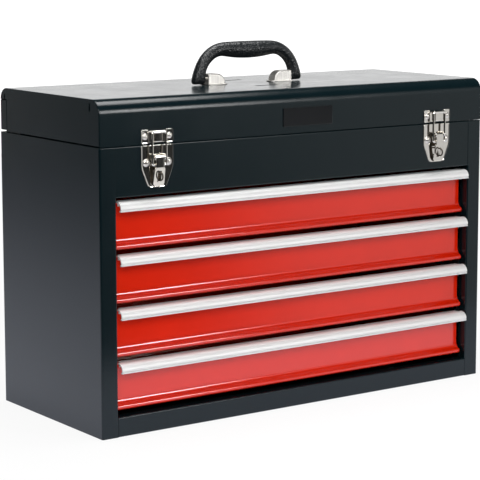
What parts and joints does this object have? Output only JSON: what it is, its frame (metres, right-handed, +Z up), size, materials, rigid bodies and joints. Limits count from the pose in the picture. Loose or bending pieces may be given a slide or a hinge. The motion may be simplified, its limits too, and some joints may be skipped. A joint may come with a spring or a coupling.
{
  "type": "portable tool box with drawers",
  "caption": "Portable steel tool box with a hinged lid, folding carrying handle, draw latches and ball-bearing drawers",
  "frame": {"origin": "middle of the base, on the surface that the box stands on", "axes": "+Z up, front with the drawers toward -Y, +X to the right as seen from the front"},
  "size_m": [0.52, 0.2224, 0.4],
  "materials": {
    "case_charcoal": "charcoal powder coat with a fine grain and a soft sheen",
    "drawer_red": "red powder coat, semi-gloss",
    "pull_aluminium": "extruded aluminium, brushed lengthwise",
    "nickel_plate": "bright nickel plate on pressed steel",
    "zinc_plate": "zinc plated steel",
    "ball_steel": "polished steel balls",
    "pin_steel": "drawn steel pin",
    "handle_plastic": "moulded black plastic with a leather-like grain",
    "badge_black": "bare dark plate with a low sheen"
  },
  "bodies": {
    "case": {"side_left": "case_charcoal", "side_right": "case_charcoal", "back_panel": "case_charcoal", "base_pan": "case_charcoal", "front_panel": "case_charcoal", "tray_floor": "case_charcoal", "slide_posts_left": "zinc_plate", "slide_posts_right": "zinc_plate", "slide_outer_1": "zinc_plate", "slide_outer_2": "zinc_plate", "slide_outer_3": "zinc_plate", "slide_outer_4": "zinc_plate", "hinge_leaf_case": "zinc_plate", "hinge_pin": "pin_steel", "latch_plate_left": "nickel_plate", "latch_plate_right": "nickel_plate", "latch_plate_rivets": "nickel_plate", "latch_pins": "nickel_plate"},
    "lid": {"lid_panel": "case_charcoal", "lid_end_left": "case_charcoal", "lid_end_right": "case_charcoal", "hinge_leaf_lid": "zinc_plate", "keeper_left": "nickel_plate", "keeper_right": "nickel_plate", "keeper_rivets": "nickel_plate", "handle_bracket_left": "nickel_plate", "handle_bracket_right": "nickel_plate", "bracket_rivets": "nickel_plate", "badge_plate": "badge_black"},
    "handle": {"handle_grip": "handle_plastic", "handle_pins": "pin_steel"},
    "drawer_1": {"drawer_tray_1": "drawer_red", "drawer_front_1": "drawer_red", "drawer_pull_1": "pull_aluminium", "slide_inner_1": "zinc_plate"},
    "cage_1": {"slide_cage_1": "zinc_plate", "slide_balls_1": "ball_steel"},
    "drawer_2": {"drawer_tray_2": "drawer_red", "drawer_front_2": "drawer_red", "drawer_pull_2": "pull_aluminium", "slide_inner_2": "zinc_plate"},
    "cage_2": {"slide_cage_2": "zinc_plate", "slide_balls_2": "ball_steel"},
    "drawer_3": {"drawer_tray_3": "drawer_red", "drawer_front_3": "drawer_red", "drawer_pull_3": "pull_aluminium", "slide_inner_3": "zinc_plate"},
    "cage_3": {"slide_cage_3": "zinc_plate", "slide_balls_3": "ball_steel"},
    "drawer_4": {"drawer_tray_4": "drawer_red", "drawer_front_4": "drawer_red", "drawer_pull_4": "pull_aluminium", "slide_inner_4": "zinc_plate"},
    "cage_4": {"slide_cage_4": "zinc_plate", "slide_balls_4": "ball_steel"},
    "lever_left": {"latch_lever_left": "nickel_plate"},
    "bail_left": {"latch_bail_left": "nickel_plate"},
    "lever_right": {"latch_lever_right": "nickel_plate"},
    "bail_right": {"latch_bail_right": "nickel_plate"}
  },
  "joints": [
    {"name": "lid_hinge", "type": "hinge", "parent": "case", "child": "lid", "pos_m": [0, 0.10332, 0.306], "axis": [-1, 0, 0], "range_deg": [0, 97]},
    {"name": "handle_fold", "type": "hinge", "parent": "lid", "child": "handle", "pos_m": [0, 0.002, 0.3598], "axis": [1, 0, 0], "range_deg": [-85, 85]},
    {"name": "drawer_slide_1", "type": "slide", "parent": "case", "child": "drawer_1", "axis": [0, -1, 0], "range_m": [0, 0.14]},
    {"name": "cage_slide_1", "type": "slide", "parent": "case", "child": "cage_1", "axis": [0, -1, 0], "range_m": [0, 0.07]},
    {"name": "drawer_slide_2", "type": "slide", "parent": "case", "child": "drawer_2", "axis": [0, -1, 0], "range_m": [0, 0.14]},
    {"name": "cage_slide_2", "type": "slide", "parent": "case", "child": "cage_2", "axis": [0, -1, 0], "range_m": [0, 0.07]},
    {"name": "drawer_slide_3", "type": "slide", "parent": "case", "child": "drawer_3", "axis": [0, -1, 0], "range_m": [0, 0.14]},
    {"name": "cage_slide_3", "type": "slide", "parent": "case", "child": "cage_3", "axis": [0, -1, 0], "range_m": [0, 0.07]},
    {"name": "drawer_slide_4", "type": "slide", "parent": "case", "child": "drawer_4", "axis": [0, -1, 0], "range_m": [0, 0.14]},
    {"name": "cage_slide_4", "type": "slide", "parent": "case", "child": "cage_4", "axis": [0, -1, 0], "range_m": [0, 0.07]},
    {"name": "lever_left_hinge", "type": "hinge", "parent": "case", "child": "lever_left", "pos_m": [-0.191, -0.11, 0.291], "axis": [-1, 0, 0], "range_deg": [0, 150]},
    {"name": "bail_left_hinge", "type": "hinge", "parent": "lever_left", "child": "bail_left", "pos_m": [-0.191, -0.11, 0.283], "axis": [-1, 0, 0], "range_deg": [-180, 0]},
    {"name": "lever_right_hinge", "type": "hinge", "parent": "case", "child": "lever_right", "pos_m": [0.191, -0.11, 0.291], "axis": [-1, 0, 0], "range_deg": [0, 150]},
    {"name": "bail_right_hinge", "type": "hinge", "parent": "lever_right", "child": "bail_right", "pos_m": [0.191, -0.11, 0.283], "axis": [-1, 0, 0], "range_deg": [-180, 0]}
  ],
  "couplings": [
    {"joint": "cage_slide_1", "follows": "drawer_slide_1", "ratio": 0.5},
    {"joint": "cage_slide_2", "follows": "drawer_slide_2", "ratio": 0.5},
    {"joint": "cage_slide_3", "follows": "drawer_slide_3", "ratio": 0.5},
    {"joint": "cage_slide_4", "follows": "drawer_slide_4", "ratio": 0.5},
    {"joint": "bail_left_hinge", "follows": "lever_left_hinge", "ratio": -1.2},
    {"joint": "bail_right_hinge", "follows": "lever_right_hinge", "ratio": -1.2}
  ]
}
